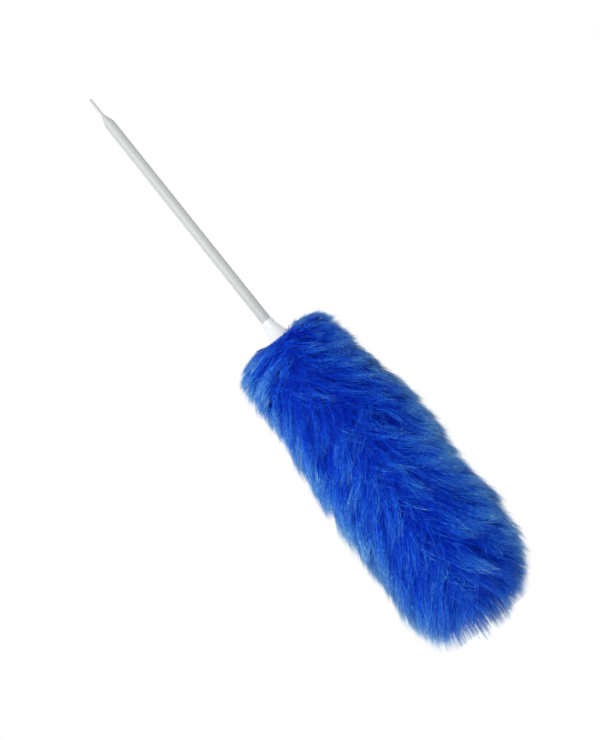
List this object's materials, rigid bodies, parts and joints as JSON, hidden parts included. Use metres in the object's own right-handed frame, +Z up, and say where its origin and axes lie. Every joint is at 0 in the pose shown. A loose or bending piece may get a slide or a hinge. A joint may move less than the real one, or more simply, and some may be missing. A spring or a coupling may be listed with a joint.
{
  "type": "lambswool duster",
  "caption": "Hand duster with a slim plastic tube handle pressed flat into a hang tab, a white flared collar and a long fluffy blue lambswool head on a wooden core.",
  "frame": {"origin": "centre of the hang hole in the pressed tab at the handle's end", "axes": "+Z up along the handle towards the tab as the duster hangs, so the wool head points down; +X across the flat of the tab, along the hang hole; +Y along the tab's width"},
  "size_m": [0.1404, 0.1302, 0.6685],
  "materials": {
    "handle_plastic": "satin extruded pale grey-white plastic",
    "collar_plastic": "smooth moulded white plastic",
    "core_wood": "bare turned wood",
    "wool_hide": "dyed suede side of the hide",
    "blue_wool": "dyed fluffy lambswool pile, lighter towards its tips",
    "tack_steel": "bright steel"
  },
  "bodies": {
    "handle": {"handle_tube": "handle_plastic"},
    "head": {"collar": "collar_plastic", "core_dowel": "core_wood", "hide_strip": "wool_hide", "tip_patch": "wool_hide", "fleece": "blue_wool", "tip_fleece": "blue_wool", "strip_tack_top": "tack_steel", "strip_tack_bottom": "tack_steel", "patch_tack": "tack_steel"}
  },
  "joints": [
    {"name": "head_pull_off", "type": "slide", "parent": "handle", "child": "head", "axis": [0, 0, -1], "range_m": [0, 0.06]}
  ]
}
